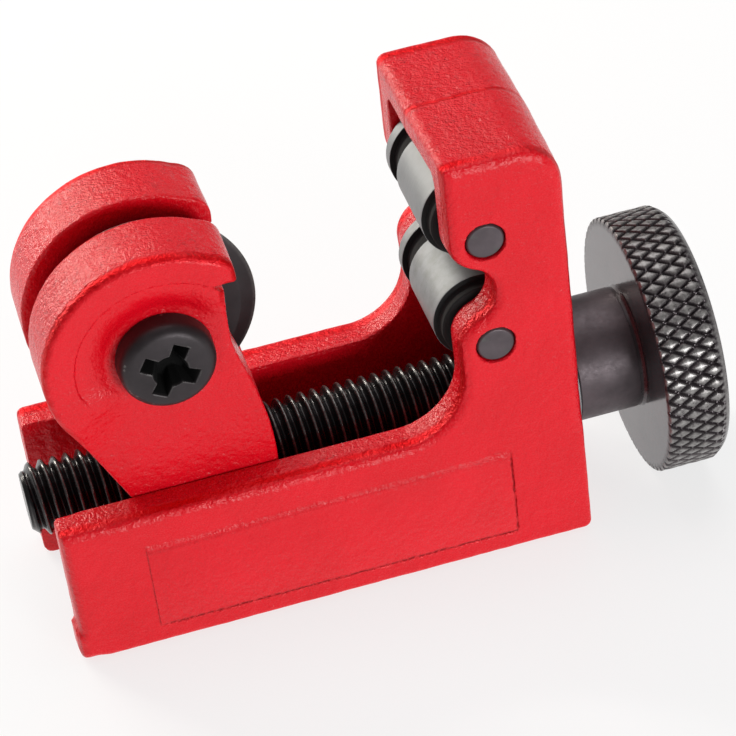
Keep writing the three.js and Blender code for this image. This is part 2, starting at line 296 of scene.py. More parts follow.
# ---- turned pieces ----
def eased(profile, radius, count=5):
    """Rounds each inner corner of a [radius, along] profile."""
    most = 0.45
    points = [np.array(p, float) for p in profile]
    out = [points[0]]
    for before, corner, after in zip(points, points[1:], points[2:]):
        back, ahead = before - corner, after - corner
        reach = min(radius, most * np.linalg.norm(back), most * np.linalg.norm(ahead))
        start = corner + back / np.linalg.norm(back) * reach
        end = corner + ahead / np.linalg.norm(ahead) * reach
        for t in np.linspace(0, 1, count):
            out.append((1 - t) ** 2 * start + 2 * t * (1 - t) * corner + t * t * end)
    out.append(points[-1])
    return np.array(out)


def densified(profile, longest):
    """Splits a profile's straight runs into parts no longer than longest."""
    out = [profile[0]]
    for a, b in zip(profile, profile[1:]):
        parts = max(1, math.ceil(np.linalg.norm(b - a) / longest))
        out += [a + (b - a) * (k + 1) / parts for k in range(parts)]
    return np.array(out)


AXIS_FRAMES = {
    "X": (Vector((0, 1, 0)), Vector((0, 0, 1)), Vector((1, 0, 0))),
    "Y": (Vector((0, 0, 1)), Vector((1, 0, 0)), Vector((0, 1, 0))),
}


def turned(name, profile, axis, centre, segments=96, closed=False):
    """A lathe-turned solid about the X or Y axis; the profile is [radius, along]."""
    across, up, along = (np.array(v) for v in AXIS_FRAMES[axis])
    turn = np.linspace(0, 2 * math.pi, segments, endpoint=False)
    spoke = np.cos(turn)[:, None] * across + np.sin(turn)[:, None] * up
    points, rings = [], []
    for radius, place in profile:
        start = sum(len(p) for p in points)
        if radius < 1e-6:
            points.append((along * place)[None])
            rings.append([start] * segments)
        else:
            points.append(spoke * radius + along * place)
            rings.append(list(range(start, start + segments)))
    pairs = list(zip(rings, rings[1:]))
    if closed:
        pairs.append((rings[-1], rings[0]))
    faces = []
    for ring, following in pairs:
        for k in range(segments):
            nxt = (k + 1) % segments
            face = [ring[k], ring[nxt], following[nxt], following[k]]
            faces.append(list(dict.fromkeys(face)))
    points = np.vstack(points) + np.array(centre)
    return outward(make_piece(name, points, faces))


def outward(piece):
    """Turns the faces outward if the enclosed volume comes out negative."""
    mesh = piece.data
    mesh.calc_loop_triangles()
    co = np.array([v.co for v in mesh.vertices])
    tris = np.array([t.vertices for t in mesh.loop_triangles])
    a, b, c = (co[tris[:, k]] for k in range(3))
    if np.einsum("ij,ij->i", a, np.cross(b, c)).sum() < 0:
        mesh.flip_normals()
    return piece


def dress(piece, body, node, material):
    """Gives the piece its finish, puts it on the body that moves it and hides the CAD node it stands for."""
    piece.data.materials.clear()
    piece.data.materials.append(material)
    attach(piece, body)
    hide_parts(node)
    return piece


# ---- materials ----
GROW, FADE = (0, 1), (1, 0)
NOISE_SPAN = (0.3, 0.7)


def connect(tree, node, inputs):
    """Fills the node's inputs: another node's socket is linked and a plain value is set."""
    for key, value in inputs.items():
        if isinstance(value, bpy.types.NodeSocket):
            tree.links.new(value, node.inputs[key])
        else:
            node.inputs[key].default_value = value


def add(tree, kind, inputs=None, **settings):
    """A new shader node with its settings made and its inputs filled."""
    node = tree.nodes.new("ShaderNode" + kind)
    for key, value in settings.items():
        setattr(node, key, value)
    connect(tree, node, inputs or {})
    return node


def start_material(name):
    material = bpy.data.materials.new(name)
    material.use_nodes = True
    tree = material.node_tree
    shader = tree.nodes["Principled BSDF"]
    place = add(tree, "TexCoord").outputs["Object"]
    return material, tree, shader, place


def noise(tree, place, size_mm, detail=4.0, roughness=0.6):
    """Noise whose largest features are about size_mm across."""
    inputs = {"Vector": place, "Scale": PER_MM / size_mm, "Detail": detail, "Roughness": roughness}
    return add(tree, "TexNoise", inputs).outputs["Fac"]


def remap(tree, value, source, target):
    """Stretches the span source onto the span target; values beyond it stay at its ends."""
    inputs = {"Value": value, "From Min": source[0], "From Max": source[1]}
    inputs.update({"To Min": target[0], "To Max": target[1]})
    return add(tree, "MapRange", inputs).outputs["Result"]


def math_of(tree, operation, first, second):
    return add(tree, "Math", {0: first, 1: second}, operation=operation).outputs[0]


def blend_colour(tree, amount, first, second):
    """The first colour where amount is 0 and the second where it is 1."""
    factor, colour_a, colour_b, colour_out = 0, 6, 7, 2
    inputs = {factor: amount, colour_a: first, colour_b: second}
    return add(tree, "Mix", inputs, data_type="RGBA").outputs[colour_out]


def bump(tree, height, rise_mm, before=None):
    inputs = {"Height": height, "Distance": rise_mm * MM, "Strength": 1.0}
    if before is not None:
        inputs["Normal"] = before
    return add(tree, "Bump", inputs).outputs["Normal"]


def attribute(tree, name):
    return add(tree, "Attribute", attribute_name=name).outputs["Fac"]


def coat(tree, shader, body, rough, metal, normal):
    """Fills the shader inputs that every metal and paint here sets."""
    connect(tree, shader, {"Base Color": body, "Roughness": rough, "Metallic": metal, "Normal": normal})


def colour(red, green, blue):
    return (red, green, blue, 1.0)


def near_line(tree, value, middle_mm, half_mm):
    """1 on a line where value is middle_mm, falling to 0 at half_mm from it."""
    core = 0.35
    off = math_of(tree, "ABSOLUTE", math_of(tree, "SUBTRACT", value, middle_mm * MM), 0.0)
    return remap(tree, off, (core * half_mm * MM, half_mm * MM), FADE)


def in_metres(start_mm, end_mm):
    return start_mm * MM, end_mm * MM


def multiplied(tree, *values):
    """The product of two or more sockets or numbers."""
    result = values[0]
    for value in values[1:]:
        result = math_of(tree, "MULTIPLY", result, value)
    return result


def pad_lip_shade(tree, place, wander):
    """1 under the side pads' lower edge and beside their right edge, where a darker red is painted as shade,
    partly pooled paint.
    """
    lower_width, right_width, short, long = 0.28, 0.14, 0.1, 1.0
    x, y, z = add(tree, "SeparateXYZ", {"Vector": place}).outputs
    lower = near_line(tree, math_of(tree, "ADD", z, wander), pad_bottom, lower_width)
    right = near_line(tree, math_of(tree, "ADD", x, wander), pad_end, right_width)
    after_start = remap(tree, x, in_metres(pad_start, pad_start + long), GROW)
    before_end = remap(tree, x, in_metres(pad_end - short, pad_end), FADE)
    above_bottom = remap(tree, z, in_metres(pad_bottom, pad_bottom + short), GROW)
    below_top = remap(tree, z, in_metres(pad_top - long, pad_top), FADE)
    lower = multiplied(tree, lower, after_start, before_end)
    right = multiplied(tree, right, above_bottom, below_top)
    on_side = remap(tree, math_of(tree, "ABSOLUTE", y, 0.0), in_metres(body_half - short, body_half), GROW)
    return multiplied(tree, math_of(tree, "MAXIMUM", lower, right), on_side)


def paint_seam(tree, place, peel, tint, ridge_mm, parting_mm):
    """1 on the flash ridges at ridge_mm either side and on the parting line, fainter in places."""
    ridge_width, parting_width, wander_mm = 0.5, 0.26, 0.5
    across = add(tree, "SeparateXYZ", {"Vector": place}).outputs["Y"]
    wander = multiplied(tree, math_of(tree, "SUBTRACT", peel, 0.5), wander_mm * MM)
    wavy = math_of(tree, "ADD", across, wander)
    seam = near_line(tree, math_of(tree, "ABSOLUTE", wavy, 0.0), ridge_mm, ridge_width)
    if parting_mm is not None:
        seam = math_of(tree, "MAXIMUM", seam, near_line(tree, wavy, parting_mm, parting_width))
    patchy = remap(tree, tint, (0.42, 0.56), (0.5, 1))
    return multiplied(tree, seam, attribute(tree, "outer"), patchy), wander


def cast_enamel(name, ridge_mm, parting_mm=None, with_pads=False):
    """Red enamel baked over a die casting: sandy on the cast skin, smoother on the broad faces,
    with a darker red painted as shade in the grooves beside the flash ridges at ridge_mm and along the
    parting line, in the pits, and at the pads' lower and right edges, where it is partly pooled paint too."""
    bright, deep = colour(0.76, 0.003, 0.014), colour(0.68, 0.002, 0.010)
    pit_shade_red, seam_shade_red, lip_shade_red = colour(0.30, 0.001, 0.004), colour(0.64, 0, 0.004), colour(0.30, 0, 0.002)
    gloss_span, seam_dullness, seam_metal = (0.22, 0.32), 0.25, 0.75
    sand_rise, peel_rise, seam_rise = 0.14, 0.11, 0.09
    material, tree, shader, place = start_material(name)
    skin = attribute(tree, "cast_skin")
    peel = noise(tree, place, size_mm=0.9, detail=2, roughness=0.5)
    sand = noise(tree, place, size_mm=0.38, detail=2, roughness=0.6)
    fine = noise(tree, place, size_mm=0.16, detail=2, roughness=0.6)
    tint = noise(tree, place, size_mm=6.0, detail=3, roughness=0.5)
    pit = remap(tree, noise(tree, place, size_mm=0.62, detail=1, roughness=0.5), (0.28, 0.38), FADE)
    seam, wander = paint_seam(tree, place, peel, tint, ridge_mm, parting_mm)

    body = blend_colour(tree, remap(tree, tint, NOISE_SPAN, GROW), deep, bright)
    # The pits on the cast skin are darkened toward a deeper red: painted shade in the pits.
    hollow = multiplied(tree, pit, remap(tree, skin, (0.62, 1.0), (0, 0.3)))
    body = blend_colour(tree, hollow, body, pit_shade_red)
    # The darker red along the flash ridges and the parting line is painted shade in their grooves.
    body = blend_colour(tree, seam, body, seam_shade_red)
    if with_pads:
        broken = remap(tree, sand, (0.40, 0.55), (0.3, 1))
        # The darker red under the pads' lower edge and beside their right edge is painted shade, partly
        # pooled paint.
        lip_shade = multiplied(tree, pad_lip_shade(tree, place, multiplied(tree, wander, 0.5)), broken)
        body = blend_colour(tree, lip_shade, body, lip_shade_red)
        seam = math_of(tree, "MAXIMUM", seam, lip_shade)
    rough = remap(tree, fine, NOISE_SPAN, gloss_span)
    rough = math_of(tree, "ADD", rough, multiplied(tree, seam, seam_dullness))
    grain = math_of(tree, "ADD", sand, multiplied(tree, fine, 0.3))
    grain = math_of(tree, "SUBTRACT", grain, multiplied(tree, pit, 0.07))
    orange_peel = math_of(tree, "ADD", peel, multiplied(tree, fine, 0.15))
    normal = bump(tree, multiplied(tree, grain, skin), sand_rise)
    normal = bump(tree, orange_peel, peel_rise, normal)
    normal = bump(tree, multiplied(tree, seam, -1.0), seam_rise, normal)
    coat(tree, shader, body, rough, multiplied(tree, seam, seam_metal), normal)
    connect(tree, shader, {"Specular IOR Level": 0.30})
    return material


def black_oxide(name, shade, gloss, worn, wear_attribute=None, polished=None, sunk=None):
    """Blackened steel with faint mottling; worn places show lighter metal, the polished
    attribute marks smoothly turned faces and the sunk one marks recesses, painted near black as painted
    shade."""
    dark = colour(shade * 0.78, shade * 0.62, shade * 0.69)
    light = colour(shade * 1.35, shade * 1.09, shade * 1.20)
    bare, recess_shade_black = colour(worn, worn * 0.97, worn * 0.94), colour(0.003, 0.003, 0.003)
    edge_span, sunk_dullness, polish_share, grain_rise = (0.52, 0.60), 0.5, 0.5, 0.006
    material, tree, shader, place = start_material(name)
    mottle = noise(tree, place, size_mm=2.2, detail=5, roughness=0.6)
    fine = noise(tree, place, size_mm=0.35, detail=4, roughness=0.6)
    body = blend_colour(tree, remap(tree, mottle, NOISE_SPAN, GROW), dark, light)
    if wear_attribute:
        wear = attribute(tree, wear_attribute)
    else:
        wear = remap(tree, add(tree, "NewGeometry").outputs["Pointiness"], edge_span, GROW)
    wear = multiplied(tree, wear, remap(tree, fine, (0.3, 0.62), (0.25, 1)))
    body = blend_colour(tree, wear, body, bare)
    rough = remap(tree, fine, NOISE_SPAN, (gloss - 0.05, gloss + 0.08))
    if sunk:
        # Recesses marked by the sunk attribute are painted near black: painted shade in the recess.
        recess = attribute(tree, sunk)
        body = blend_colour(tree, recess, body, recess_shade_black)
        rough = math_of(tree, "ADD", rough, multiplied(tree, recess, sunk_dullness))
    if polished:
        rough = multiplied(tree, rough, remap(tree, attribute(tree, polished), GROW, (1, polish_share)))
    coat(tree, shader, body, rough, 0.55, bump(tree, fine, grain_rise))
    return material


def ground_steel(name, shade, along_axis=1, mottled=0.0, metal=0.9):
    """Ground steel: fine rings round the piece, soft stains and a dark oxide left in the grooves."""
    clean = colour(shade, shade * 1.06, shade * 1.10)
    dull = colour(shade * 0.72, shade * 0.76, shade * 0.74)
    oxide = colour(0.006, 0.006, 0.006)
    ring_squeeze, stain_share, recess_dullness, scratch_rise = 0.02, 0.35, 0.4, 0.004
    material, tree, shader, place = start_material(name)
    stretch = [ring_squeeze] * 3
    stretch[along_axis] = 1.0
    rings = add(tree, "Mapping", {"Vector": place, "Scale": tuple(stretch)}).outputs["Vector"]
    scratch = noise(tree, rings, size_mm=0.09, detail=5, roughness=0.7)
    stain = noise(tree, place, size_mm=1.3, detail=5, roughness=0.65)
    stained = remap(tree, stain, (0.42, 0.66), (0, stain_share + mottled))
    recess = attribute(tree, "recess")
    body = blend_colour(tree, stained, clean, dull)
    body = blend_colour(tree, recess, body, oxide)
    rough = remap(tree, scratch, NOISE_SPAN, (0.44, 0.58))
    rough = math_of(tree, "ADD", rough, multiplied(tree, recess, recess_dullness))
    metallic = remap(tree, recess, GROW, (metal, 0.0))
    coat(tree, shader, body, rough, metallic, bump(tree, scratch, scratch_rise))
    return material


enamel_frame = cast_enamel("red_enamel_frame", body_half - 0.75, parting_y, with_pads=True)
enamel_slide = cast_enamel("red_enamel_slide", rim_half - 0.4)
oxide_knob = black_oxide(
    "knob_black_oxide", shade=0.05, gloss=0.30, worn=0.30, wear_attribute="wear", polished="polish"
)
oxide_sleeve = black_oxide("sleeve_black_oxide", shade=0.075, gloss=0.46, worn=0.12)
oxide_pin = black_oxide("pin_black_oxide", shade=0.085, gloss=0.42, worn=0.085)
oxide_axle = black_oxide("axle_black_oxide", shade=0.026, gloss=0.40, worn=0.15, sunk="sunk")
oxide_screw = black_oxide("screw_black_oxide", shade=0.010, gloss=0.24, worn=0.13, wear_attribute="wear")
wheel_steel = black_oxide("wheel_dark_steel", shade=0.022, gloss=0.40, worn=0.10, wear_attribute="wear")
roller_steel = {
    "upper": ground_steel("roller_ground_steel", shade=0.24, metal=0.3),
    "lower": ground_steel("roller_ground_steel_stained", shade=0.24, metal=0.3, mottled=0.4),
}
washer_steel = ground_steel("washer_spring_steel", shade=0.30, along_axis=0)


# ---- cast frame ----
def frame_outline():
    """Base, end wall, rounded head, two lobes round the roller pins, sweep to the wall tops."""
    left, right, top = frame_low.x, frame_high.x, frame_high.z
    upper = (roller_axes["upper"].x, roller_axes["upper"].z)
    lower = (roller_axes["lower"].x, roller_axes["lower"].z)
    foot_top, foot_step, foot_out, foot_corner = 3.1, 2.75, 0.28, 0.78
    end_corner = 0.9
    lobe_turn, reach = 1.2, 0.85
    lobe_deg = math.degrees(lobe_turn)
    lobe_out = arc(upper, cheek_lobe, 180, 180 + lobe_deg)
    lobe_in = arc(lower, cheek_lobe, 180 - lobe_deg, 180)
    toward = reach * np.array([math.sin(lobe_turn), -math.cos(lobe_turn)])
    notch = np.array([cheek_notch, contact_height])
    pull = np.array([0, reach])
    return closed_outline(
        [(left, wall_top - wall_corner), (left, foot_top), (left - foot_out, foot_step)],
        arc((left - foot_out + foot_corner, foot_corner), foot_corner, 180, 270, 6),
        arc((right - end_corner, end_corner), end_corner, 270, 360, 6),
        arc((right - head_shoulder, top - head_shoulder), head_shoulder, 0, 90),
        arc((head_face + head_nose, top - head_nose), head_nose, 90, 180, 8),
        lobe_out,
        bezier(lobe_out[-1], lobe_out[-1] + toward, notch + pull, notch, 10),
        bezier(notch, notch - pull, lobe_in[0] + toward * (1, -1), lobe_in[0], 10),
        lobe_in,
        arc((head_face - wall_sweep, wall_top + wall_sweep), wall_sweep, 0, -90),
        arc((left + wall_corner, wall_top - wall_corner), wall_corner, 90, 180, 6),
    )


def cast_frame_distance():
    """The channel, its end wall and the head, hollowed and bored, with slightly uneven faces."""
    outline = frame_outline()
    left, right, top = frame_low.x, frame_high.x, frame_high.z
    sharp_rim, soft_rim, softened, inner_corner = 0.34, 0.42, 0.4, 0.9
    open_corner, channel_rim, wall_bore_rim, pin_bore_rim = 0.4, 0.2, 0.15, 0.1
    wall_bore, pin_bore, bore_start = 3.1, 1.57, 10.0

    def distance(x, y, z):
        side = np.abs(y)
        plan = outline_distance(x, z, outline) + cast_draft * np.maximum(parting_y - y, 0)
        ripple = cast_ripple(x, y, z, long_wave=3.5, long_rise=0.014, short_wave=1.2, seed=11)
        near_top = smooth_step(z, wall_top - 4, wall_top - 1)
        near_open_end = smooth_step(left - x, -2.5, -1.0)
        rim = np.where(y < 0, soft_rim + softened * np.maximum(near_top, near_open_end), sharp_rim)
        shell = meet(plan, side - body_half, rim) + ripple
        channel = meet(side - channel_half, floor_top - z, inner_corner)
        channel = meet(channel, x - (right - end_wall), inner_corner)
        channel = meet(channel, z - (top - head_web), inner_corner)
        open_end = meet(side - channel_half, x - (left + floor_setback), open_corner)
        shell = cut(shell, join(channel, open_end, open_corner) + ripple, channel_rim)
        feed_bore = np.hypot(y - feed_axis.y, z - feed_axis.z) - wall_bore
        shell = cut(shell, np.maximum(feed_bore, bore_start - x), wall_bore_rim)
        for axis in roller_axes.values():
            shell = cut(shell, np.hypot(x - axis.x, z - axis.z) - pin_bore, pin_bore_rim)
        return shell

    return distance


def side_pad(side):
    """The low raised panel on one side of the base: a plate with a narrow bevel."""
    root, outer, bevel, sunk_edge = body_half - 0.6, body_half + pad_rise, 0.11, 0.02
    profile = [
        (0, -0.1, root), (0, 0, body_half - sunk_edge), (0, 0.45, outer - bevel),
        (0.35 * bevel, 0.65, outer - 0.3 * bevel), (bevel, 0.95, outer),
    ]
    rings = []
    for inset, top_inset, depth in profile:
        x0, x1 = pad_start + inset, pad_end - inset
        z0, z1 = pad_bottom + inset, pad_top - top_inset
        rings += [(x, side * depth, z) for x, z in ((x0, z0), (x1, z0), (x1, z1), (x0, z1))]
    ring = np.arange(len(rings)).reshape(len(profile), -1)
    nxt = np.roll(ring, -1, axis=1)
    sides = np.stack([ring[:-1], nxt[:-1], nxt[1:], ring[1:]], axis=2).reshape(-1, 4)
    faces = ring[[0, -1]].tolist() + sides.tolist()
    return consistent(make_piece("pad_tool", np.array(rings), faces))


def consistent(piece):
    """Makes the winding of all faces agree and point outward."""
    work = bmesh.new()
    work.from_mesh(piece.data)
    bmesh.ops.recalc_face_normals(work, faces=work.faces)
    work.to_mesh(piece.data)
    work.free()
    return piece


def boolean(piece, tool, operation):
    """Applies a boolean and removes the tool."""
    modifier = piece.modifiers.new("boolean", "BOOLEAN")
    modifier.operation = operation
    modifier.object = tool
    modifier.solver = "MANIFOLD"
    bpy.context.view_layer.objects.active = piece
    bpy.context.view_layer.update()
    bpy.ops.object.modifier_apply(modifier=modifier.name)
    bpy.data.objects.remove(tool)
    return piece


def mark_skin(piece, outline, smoothing):
    """Marks the sandy skin, less on the broad side faces by smoothing, and the outer edge's surfaces."""
    broad = np.abs(vertex_normals(piece)[:, 1])
    set_attribute(piece, "cast_skin", 1 - smoothing * smooth_step(broad, 0.6, 0.95))
    co = vertex_places(piece)
    depth = np.abs(outline_distance(co[:, 0], co[:, 2], outline))
    set_attribute(piece, "outer", 1 - smooth_step(depth, 0.3, 0.6))


def build_cast_frame():
    """The frame's casting with a raised panel joined on each side."""
    step = 0.234
    shape = solid_from_distance(cast_frame_distance(), frame_low, frame_high, step)
    piece = make_piece("cast_frame", *shape)
    for side in (-1, 1):
        boolean(piece, side_pad(side), "UNION")
    shade_smooth(piece.data)
    mark_skin(piece, frame_outline(), smoothing=0.52)
    return dress(piece, "frame", "frame_body", enamel_frame)


# ---- cast slide ----
ear_corner = (frame_low.x + 15.3, contact_height + 8.3)
ear_tip = frame_low.x + 17.1
ear_tip_under = 30.8
rim_inner = 6.95
seat_radius = 4.3


def slide_outline():
    """Foot in the channel, waist behind the wheel, round ears with a blunt tip."""
    foot_start, foot_end = frame_low.x + 6.8, frame_low.x + 18.2
    foot_bottom, shoulder = slide_low.z, wall_top + 1
    back, back_end_deg = foot_start - 0.4, 205
    waist = frame_low.x + 16.1
    tip_corner, tip_bulge = 0.5, 1.6
    corner_deg = math.degrees(math.acos((ear_corner[0] - wheel_axis.x) / ear_radius))
    corner = arc((wheel_axis.x, contact_height), ear_radius, corner_deg, corner_deg + 1, 2)[0]
    tip_low, tip_high = (ear_tip, ear_tip_under + 0.6), (ear_tip, corner[1] - 0.6)
    hollow, nose = (waist, ear_tip_under), (ear_tip, ear_tip_under)
    nose_start = (ear_tip - tip_corner, ear_tip_under)
    heel_top, heel_end = (back, wall_top - wall_corner), (foot_start, wall_top - 1)
    back_low, back_high = (foot_end, shoulder), (waist, contact_height)
    return closed_outline(
        [(foot_start, foot_bottom), (foot_end, foot_bottom)],
        bezier(back_low, (foot_end - 0.3, shoulder + 5.8), (waist, contact_height - 2), back_high),
        (waist, ear_tip_under - 1.2),
        bezier((waist, ear_tip_under - tip_corner), hollow, hollow, nose_start, 6),
        bezier(nose_start, nose, nose, tip_low, 6),
        bezier(tip_low, (ear_tip, corner[1] - tip_bulge), tip_high, corner, 8),
        arc((wheel_axis.x, contact_height), ear_radius, corner_deg, back_end_deg, 60),
        heel_top,
        bezier(heel_top, (foot_start, heel_top[1]), (foot_start, wall_top - 0.8), heel_end, 5),
    )


def ear_face(x, z):
    """How far the ear's side stands from the middle: a crescent rim, a fine step that hooks
    inward at its lower end, then a bowl that deepens toward the seat of the axle screw."""
    hook_in, step_depth, bowl_depth, crown_drop, ease = 0.25, 0.25, 1.1, 0.14, 0.2
    hook_turn, step_end, left_fade, right_fade = (188, 202), (188, 214), (196, 236), (12, 52)
    step_slope, crown_end, tip_fade = 0.1, ear_radius - 0.4, (ear_tip_under - 0.05, ear_tip_under + 0.3)
    past_top, last_angle = 120, 300
    radius = np.hypot(x - wheel_axis.x, z - contact_height)
    angle = np.degrees(np.arctan2(z - contact_height, x - wheel_axis.x)) % 360
    near_ear = angle < last_angle
    hook = hook_in * smooth_step(angle, *hook_turn) * near_ear
    past_step = radius - rim_inner + hook
    inside_step = 1 - smooth_step(past_step, -step_slope, step_slope)
    step = step_depth * inside_step * (1 - smooth_step(angle, *step_end))
    inward = np.clip((rim_inner - radius) / (rim_inner - seat_radius), 0, 1)
    bowl = bowl_depth * inward**2
    crown = crown_drop * (1 - smooth_step(radius, rim_inner, crown_end))
    rise = rim_half - slide_half - step - bowl - crown
    fade_left = 1 - smooth_step(angle, *left_fade)
    inner = fade_left * smooth_step(angle, *right_fade)
    outer = np.where(angle > past_top, fade_left, smooth_step(z, *tip_fade))
    amount = np.where(past_step < 0, inner, outer) * near_ear
    soft_rise = 0.5 * (rise + np.hypot(rise, ease))
    return slide_half + soft_rise * amount, amount


def cast_slide_distance():
    """The slide's outline as wide as its faces, slotted for the wheel and bored twice."""
    outline = slide_outline()
    draft, edge, edge_on_ear, slot_corner = 0.012, 0.32, 0.18, 0.6
    slot_rim, screw_bore_rim, axle_bore_rim = 0.22, 0.2, 0.1
    axle_bore = axle_shank + 0.06

    def distance(x, y, z):
        side = np.abs(y)
        plan = outline_distance(x, z, outline)
        face, amount = ear_face(x, z)
        ripple = cast_ripple(x, y, z, long_wave=3.0, long_rise=0.012, short_wave=1.1, seed=23)
        shell = meet(plan + draft * side, side - face, edge + edge_on_ear * amount) + ripple
        slot = meet(side - slot_half, slot_floor - z, slot_corner)
        shell = cut(shell, slot, slot_rim)
        bore = np.hypot(y - feed_axis.y, z - feed_axis.z) - screw_bore
        shell = cut(shell, bore, screw_bore_rim)
        axle = np.hypot(x - wheel_axis.x, z - contact_height) - axle_bore
        return cut(shell, axle, axle_bore_rim)

    return distance


def build_cast_slide():
    """The slide's casting: one solid from foot to ears."""
    step = 0.172
    shape = solid_from_distance(cast_slide_distance(), slide_low, slide_high, step)
    piece = make_piece("cast_slide", *shape)
    mark_skin(piece, slide_outline(), smoothing=0.42)
    return dress(piece, "slide", "slide_carriage", enamel_slide)


# ---- rollers and pins ----
def build_roller(side):
    """A ground roller with a flare groove nearer its far end and a narrow recess at the near one."""
    axis = roller_axes[side]
    radius = roller_high.x - axis.x
    half = roller_high.y
    groove = radius - 0.45
    bore, chamfer = 1.55, 0.25
    near_collar, flare_start, flare_end = -4.35, 2.2, 4.2
    profile = [
        (bore, -half), (groove - 0.1, -half), (groove, -half + 0.1), (groove, near_collar),
        (radius, near_collar), (radius, flare_start), (groove, flare_start), (groove, flare_end),
        (radius, flare_end), (radius, half - chamfer), (radius - chamfer, half), (bore, half),
    ]
    profile = densified(eased(profile, radius=0.04), longest=0.4)
    piece = turned(f"ground_roller_{side}", profile, "Y", (axis.x, 0, axis.z), 128, closed=True)
    co = vertex_places(piece)
    reach = np.hypot(co[:, 0] - axis.x, co[:, 2] - axis.z)
    below_surface, end_face = 0.03, 0.3
    in_groove = (reach < radius - below_surface) & (co[:, 1] < half - end_face)
    set_attribute(piece, "recess", in_groove)
    return dress(piece, f"{side}_roller", f"roller_{side}", roller_steel[side])


def build_pin(side):
    """A pin with slightly domed, chamfered ends."""
    axis = roller_axes[side]
    radius = (pin_high.x - pin_low.x) / 2
    half = pin_high.y
    dome, dome_reach, chamfer, chamfer_long = 0.02, radius * 0.6, 0.14, 0.2
    far_end = [
        (radius, half - chamfer_long), (radius - chamfer, half - dome),
        (dome_reach, half), (0, half - dome),
    ]
    near_end = [(reach, -along) for reach, along in reversed(far_end)]
    profile = densified(eased(near_end + far_end, radius=0.08), longest=1.0)
    piece = turned(f"oxide_pin_{side}", profile, "Y", (axis.x, 0, axis.z), 64)
    return dress(piece, "frame", f"roller_pin_{side}", oxide_pin)


# ---- cutting wheel and its cross-head axle screw ----
def build_wheel():
    """A thin disc with a bevelled cutting edge and a hub on each side."""
    radius = wheel_high.z - contact_height
    hub_radius, hub_half = 3.3, wheel_high.y
    blade, edge = 0.55, 0.04
    bevel = radius - 1.3
    bore = 2.05
    near_half = [
        (bore, -hub_half), (hub_radius, -hub_half), (hub_radius, -blade),
        (bevel, -blade), (radius, -edge),
    ]
    profile = near_half + [(reach, -along) for reach, along in reversed(near_half)]
    profile = densified(eased(profile, radius=0.08), longest=0.35)
    piece = turned("cutter_disc", profile, "Y", wheel_axis, 160, closed=True)
    co = vertex_places(piece)
    reach = np.hypot(co[:, 0] - wheel_axis.x, co[:, 2] - wheel_axis.z)
    set_attribute(piece, "wear", smooth_step(reach, radius - 0.35, radius))
    return dress(piece, "wheel", "cutting_wheel", wheel_steel)


head_dome = 0.035


def axle_screw_distance():
    """Domed pan head with a cross recess whose arms widen outward, on a plain shank."""
    head_radius = wheel_axis.x - axle_low.x
    seat, face, end = -slide_half - 0.05, axle_low.y, axle_high.y
    head_taper, head_edge = 0.05, 0.75
    arm_length, arm_width, core_radius, deepest = 2.35, 0.58, 1.4, 0.95 * (seat - face)
    turn = math.radians(30)

    def distance(x, y, z):
        u, w = x - wheel_axis.x, z - contact_height
        reach = np.hypot(u, w)
        dome = face - y + head_dome * reach**2
        side = reach - head_radius + head_taper * (seat - y)
        head = meet(meet(side, dome, head_edge), y - seat, 0.12)
        a = u * math.cos(turn) - w * math.sin(turn)
        b = u * math.sin(turn) + w * math.cos(turn)
        depth = y - face
        recess = reach - (core_radius - 0.3 * depth)
        for along, across in ((a, b), (b, a)):
            length = arm_length - 0.45 * depth
            width = arm_width - 0.1 * depth + 0.03 * np.abs(along)
            arm = np.maximum(np.abs(along) - length, np.abs(across) - width)
            recess = np.minimum(recess, arm)
        recess = np.maximum(recess, depth - deepest + 0.2 * reach)
        head = cut(head, recess, 0.06)
        shank = meet(reach - axle_shank, between(y, seat - 0.3, end), 0.3)
        return join(head, shank, 0.12)

    return distance


def build_axle_screw():
    """The axle screw, with the inside of its recess marked."""
    step = 0.085
    points, quads = solid_from_distance(axle_screw_distance(), axle_low, axle_high, step)
    piece = make_piece("cross_head_screw", points, quads)
    reach = np.hypot(points[:, 0] - wheel_axis.x, points[:, 2] - contact_height)
    depth = points[:, 1] - axle_low.y - head_dome * reach**2
    inside_rim = reach < 2.5
    set_attribute(piece, "sunk", smooth_step(depth, 0.05, 0.3) * inside_rim)
    return dress(piece, "slide", "wheel_axle_screw", oxide_axle)


# ---- feed screw, sleeve and knob ----
def thread_height(phase):
    """Share of the thread's depth at a place in one pitch: flat crest, slopes, rounded root."""
    crest_share, root_share = 0.06, 0.94
    from_crest = np.abs(phase - 0.5) * 2
    return 1 - smooth_step(from_crest, crest_share, root_share)


def plain_rings(profile, longest, around):
    """Rings along a plain turned profile, with 0 as their value."""
    places = densified(np.array(profile), longest)
    return [(place, np.full(around, radius), np.zeros(around)) for radius, place in places]


def ring_points(rings, turn):
    """Points and values of rings about the feed axis; each is (place along it, radii, values)."""
    places, radii, values = (np.array(part) for part in zip(*rings))
    points = np.stack([
        np.repeat(places[:, None], len(turn), axis=1),
        radii * np.cos(turn) + feed_axis.y,
        radii * np.sin(turn) + feed_axis.z,
    ], axis=2)
    return points, values


